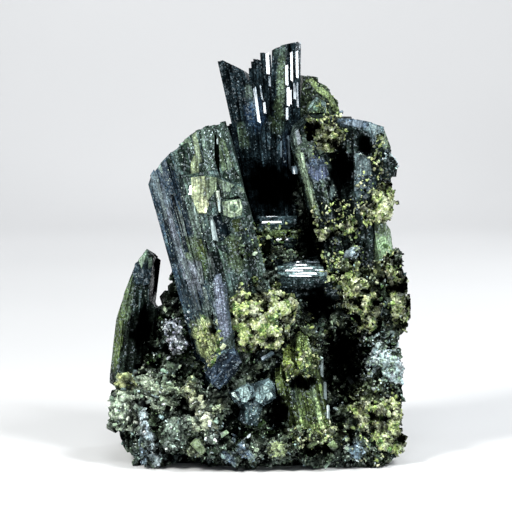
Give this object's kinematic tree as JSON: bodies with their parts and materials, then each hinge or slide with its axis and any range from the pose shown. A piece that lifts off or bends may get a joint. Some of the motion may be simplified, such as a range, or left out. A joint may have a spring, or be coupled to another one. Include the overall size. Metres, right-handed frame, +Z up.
{
  "type": "epidote crystal cluster",
  "caption": "Epidote specimen: dark striated crystals and yellow-green crusts on granular rock, standing on a flat cut.",
  "frame": {"origin": "middle of the flat underside that the specimen rests on", "axes": "+Z up along the crystals, -Y towards the face with the crystals, +X to the right seen from there"},
  "size_m": [0.0603, 0.0394, 0.0833],
  "materials": {
    "dark_crystal": "near-black bluish green epidote, glassy along its striations",
    "slab_crystal": "dark greyish green epidote, striated, half frosted",
    "olive_crystal": "olive green epidote, satin",
    "slate_crystal": "blue-grey crystal, frosted",
    "pale_crystal": "pale grey-green crystal, smooth",
    "green_crust": "yellow-green crust of small blocky crystals, sparkling",
    "pale_crust": "pale blue-white crust of fine grains",
    "rock": "mottled grey-green granular rock, dull"
  },
  "bodies": {
    "root": {"tall_slab_crystal": "slab_crystal", "twin_top_crystals": "dark_crystal", "right_block_crystal": "dark_crystal", "slate_blue_prism": "slate_crystal", "slate_blue_block": "slate_crystal", "pale_foot_crystals": "slate_crystal", "olive_blades": "olive_crystal", "cross_lying_crystals": "dark_crystal", "olive_back_crystal": "olive_crystal", "left_wedge_crystal": "dark_crystal", "pale_edge_crystal": "pale_crystal", "rock": "rock", "centre_crust": "green_crust", "block_crust": "green_crust", "side_crust": "green_crust", "band_crust": "green_crust", "pale_blue_crust": "pale_crust", "column_crust": "green_crust", "edge_crust": "green_crust", "lower_crust": "green_crust", "dark_knob": "slate_crystal"}
  },
  "joints": []
}
